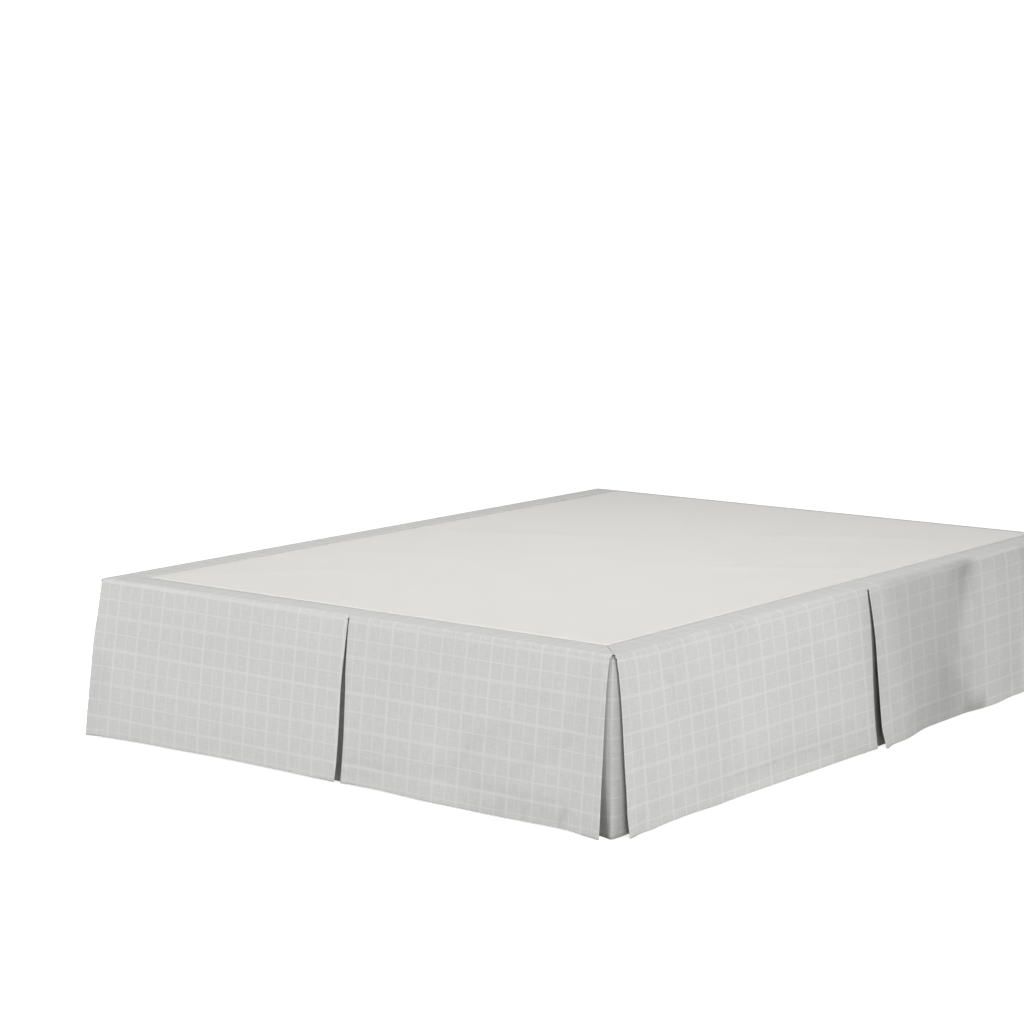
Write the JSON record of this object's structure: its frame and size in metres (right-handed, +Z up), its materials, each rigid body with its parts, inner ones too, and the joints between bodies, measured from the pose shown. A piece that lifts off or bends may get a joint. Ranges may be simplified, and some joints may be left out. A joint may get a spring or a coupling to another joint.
{
  "type": "bed skirt on box spring",
  "caption": "Tailored bed skirt in pale grey checked cloth with split corners and centre pleats, falling to the floor over a plain box spring on round legs",
  "frame": {"origin": "On the floor, at the middle of the whole object's footprint", "axes": "+Z up, +Y from the foot of the bed towards its head, +X towards the side with the pleats that the camera sees"},
  "size_m": [1.673, 2.0911, 0.3823],
  "materials": {
    "face_cloth": "matt",
    "deck_cloth": "matt",
    "ticking": "matt",
    "leg_wood": "satin"
  },
  "bodies": {
    "root": {"drop_foot_left": "face_cloth", "drop_foot_right": "face_cloth", "drop_right_front": "face_cloth", "drop_right_rear": "face_cloth", "drop_left_front": "face_cloth", "drop_left_rear": "face_cloth", "pleat_foot": "face_cloth", "pleat_right": "face_cloth", "pleat_left": "face_cloth", "pleat_corner_right": "face_cloth", "pleat_corner_left": "face_cloth", "deck": "deck_cloth", "box_spring": "ticking", "leg_1": "leg_wood", "leg_2": "leg_wood", "leg_3": "leg_wood", "leg_4": "leg_wood", "leg_5": "leg_wood", "leg_6": "leg_wood", "leg_7": "leg_wood", "leg_8": "leg_wood", "leg_9": "leg_wood"}
  },
  "joints": []
}
